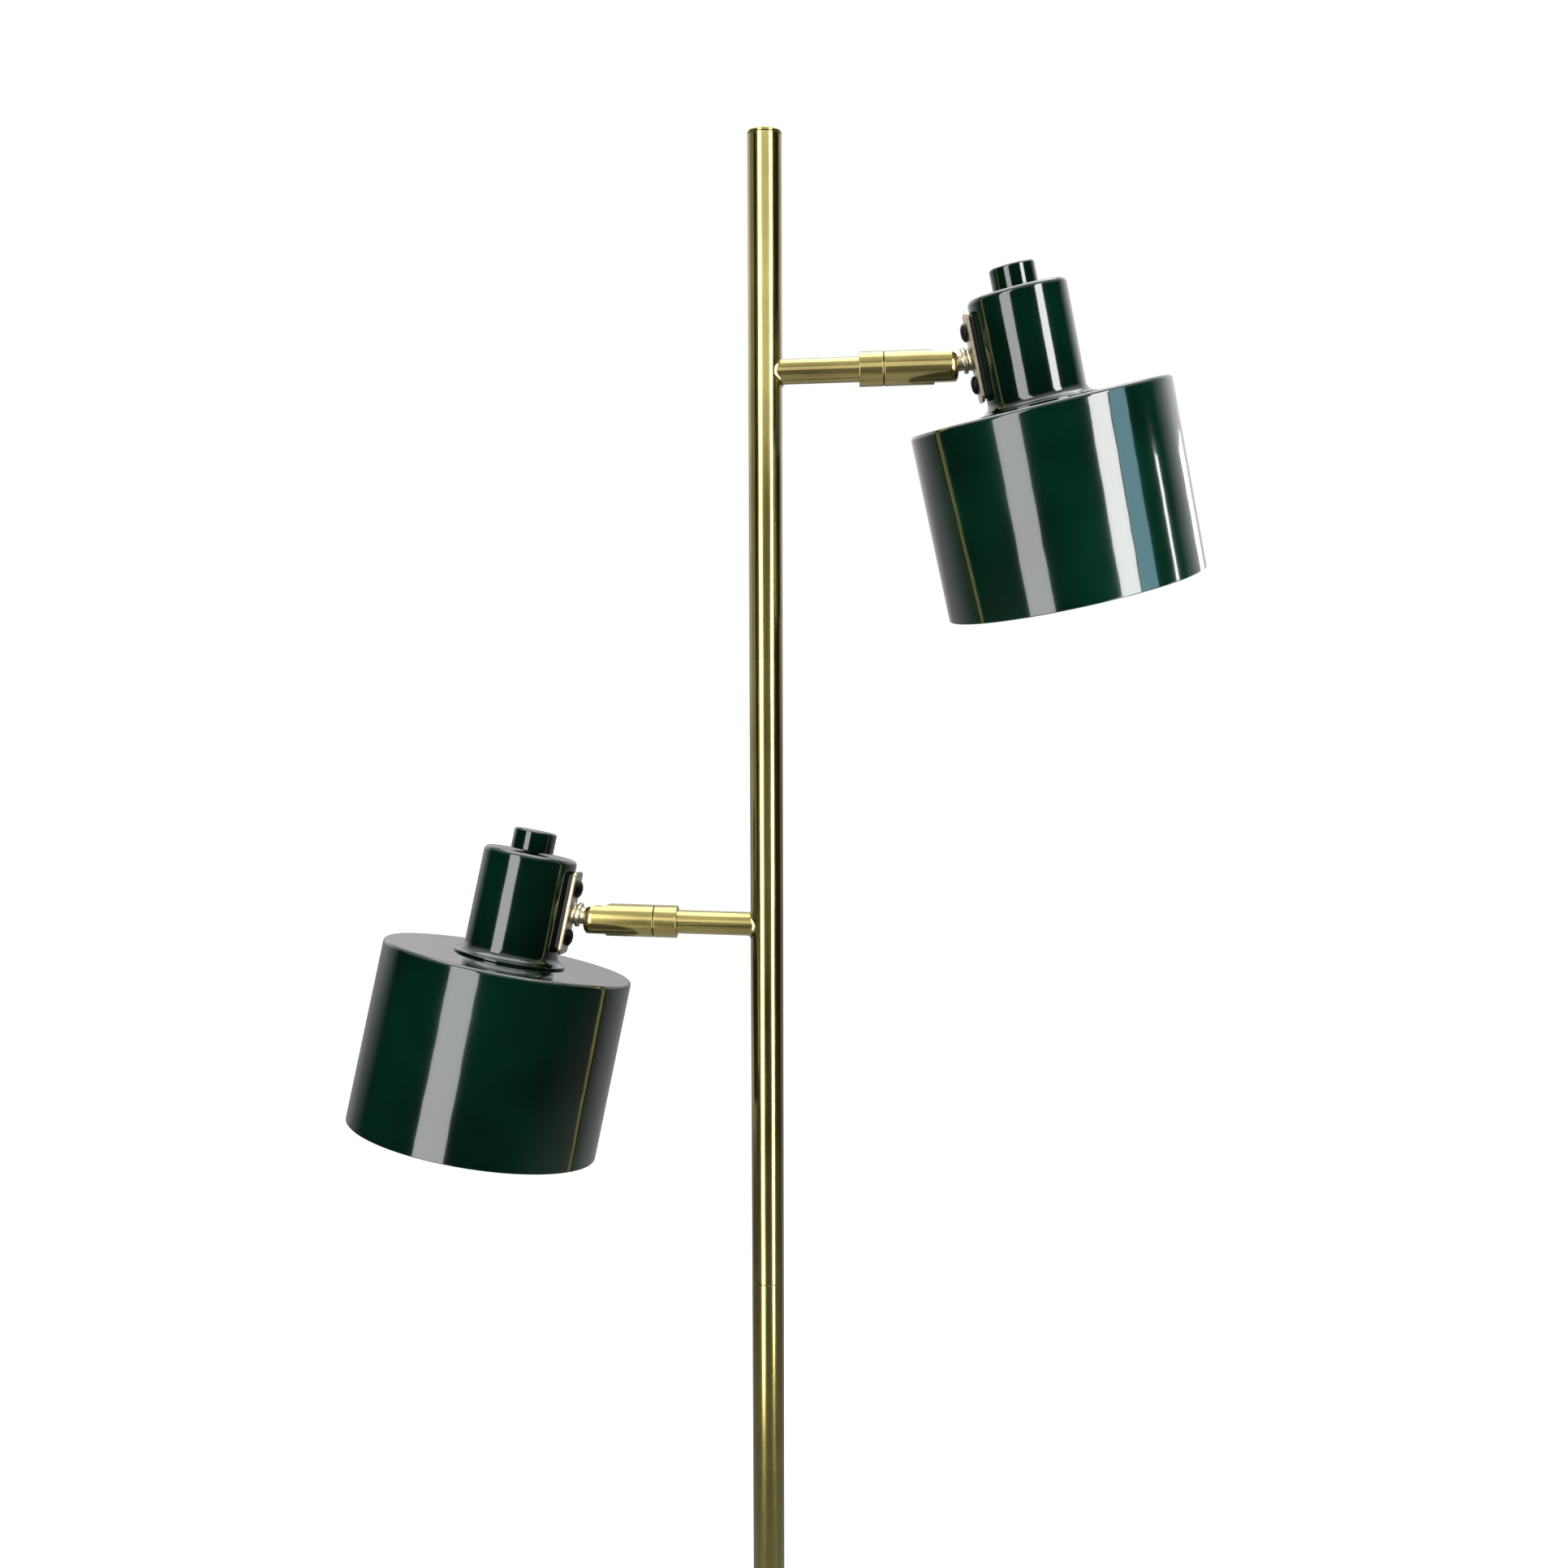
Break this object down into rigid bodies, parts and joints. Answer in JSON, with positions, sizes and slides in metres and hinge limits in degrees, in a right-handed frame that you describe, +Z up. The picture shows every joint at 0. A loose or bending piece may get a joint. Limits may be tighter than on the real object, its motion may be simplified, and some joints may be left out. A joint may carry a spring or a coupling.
{
  "type": "adjustable arm floor lamp",
  "caption": "Floor lamp with a slender pole on a weighted disc base, short side arms on slotted ball joints and drum shades with a narrow neck and a rotary knob on top.",
  "frame": {"origin": "on the pole's axis, at the underside of the felt under the base", "axes": "+Z up along the pole, +X along the upper side arm, -X along the lower one, +Y to the back"},
  "size_m": [0.4109, 0.2629, 1.45],
  "materials": {
    "brass": "satin",
    "nickel_brass": "satin",
    "green_lacquer": "gloss",
    "black_steel": "satin",
    "zinc": "satin",
    "cast_iron": "matte",
    "felt": "matte",
    "black_plastic": "matte",
    "cap_metal": "satin",
    "opal_glass": "gloss",
    "lead": "satin"
  },
  "bodies": {
    "stand": {"base_felt_pad": "felt", "base_weight": "cast_iron", "base_cover": "green_lacquer", "base_rod": "zinc", "base_nut": "zinc", "base_collar": "brass", "cord_gland": "black_plastic", "terminal_block": "black_plastic", "pole_lower": "brass", "pole_middle": "brass", "pole_upper": "brass", "coupler_lower": "brass", "coupler_upper": "brass", "pole_cap": "brass", "upper_arm_lead": "lead", "lower_arm_lead": "lead", "upper_arm_tube": "brass", "upper_arm_collar": "brass", "upper_swivel_nut": "zinc", "lower_arm_tube": "brass", "lower_arm_collar": "brass", "lower_swivel_nut": "zinc"},
    "upper_barrel": {"upper_joint_barrel": "brass"},
    "upper_ball": {"upper_joint_ball": "nickel_brass", "upper_stem_nut": "zinc"},
    "upper_head": {"upper_mount_plate": "nickel_brass", "upper_plate_pad": "black_plastic", "upper_plate_screw_top": "black_steel", "upper_plate_screw_bottom": "black_steel", "upper_shade_neck": "green_lacquer", "upper_shade_drum": "green_lacquer", "upper_switch_nut": "zinc", "upper_switch_body": "black_plastic", "upper_holder_bracket": "zinc", "upper_lamp_holder": "black_plastic", "upper_holder_ring": "black_plastic", "upper_bulb_cap": "cap_metal", "upper_bulb_glass": "opal_glass", "upper_head_lead": "lead"},
    "upper_knob": {"upper_switch_knob": "green_lacquer"},
    "lower_barrel": {"lower_joint_barrel": "brass"},
    "lower_ball": {"lower_joint_ball": "nickel_brass", "lower_stem_nut": "zinc"},
    "lower_head": {"lower_mount_plate": "nickel_brass", "lower_plate_pad": "black_plastic", "lower_plate_screw_top": "black_steel", "lower_plate_screw_bottom": "black_steel", "lower_shade_neck": "green_lacquer", "lower_shade_drum": "green_lacquer", "lower_switch_nut": "zinc", "lower_switch_body": "black_plastic", "lower_holder_bracket": "zinc", "lower_lamp_holder": "black_plastic", "lower_holder_ring": "black_plastic", "lower_bulb_cap": "cap_metal", "lower_bulb_glass": "opal_glass", "lower_head_lead": "lead"},
    "lower_knob": {"lower_switch_knob": "green_lacquer"}
  },
  "joints": [
    {"name": "upper_swivel", "type": "hinge", "parent": "stand", "child": "upper_barrel", "pos_m": [0.05599, 0, 1.34324], "axis": [0.9998, 0, 0.0222], "range_deg": [-170.1, 159.9]},
    {"name": "upper_tilt", "type": "hinge", "parent": "upper_barrel", "child": "upper_ball", "pos_m": [0.08168, 0, 1.34381], "axis": [0.002, -0.996, -0.0889], "range_deg": [-11.7, 78.3]},
    {"name": "upper_spin", "type": "hinge", "parent": "upper_ball", "child": "upper_head", "pos_m": [0.09727, -0.00029, 1.34739], "axis": [0.9745, -0.018, 0.2236], "range_deg": [-90, 90]},
    {"name": "upper_switch_turn", "type": "hinge", "parent": "upper_head", "child": "upper_knob", "pos_m": [0.11451, -0.00334, 1.38201], "axis": [-0.2244, -0.087, 0.9706], "continuous": true},
    {"name": "lower_swivel", "type": "hinge", "parent": "stand", "child": "lower_barrel", "pos_m": [-0.05599, 0, 1.08024], "axis": [-0.9998, 0, 0.0222], "range_deg": [-174.1, 155.9]},
    {"name": "lower_tilt", "type": "hinge", "parent": "lower_barrel", "child": "lower_ball", "pos_m": [-0.08168, 0, 1.08081], "axis": [-0.0035, 0.9874, -0.1581], "range_deg": [-9.9, 80.1]},
    {"name": "lower_spin", "type": "hinge", "parent": "lower_ball", "child": "lower_head", "pos_m": [-0.09738, 0.00044, 1.08388], "axis": [-0.9811, 0.0272, 0.1916], "range_deg": [-90, 90]},
    {"name": "lower_switch_turn", "type": "hinge", "parent": "lower_head", "child": "lower_knob", "pos_m": [-0.11571, 0.00578, 1.11765], "axis": [0.1934, 0.1558, 0.9687], "continuous": true}
  ]
}
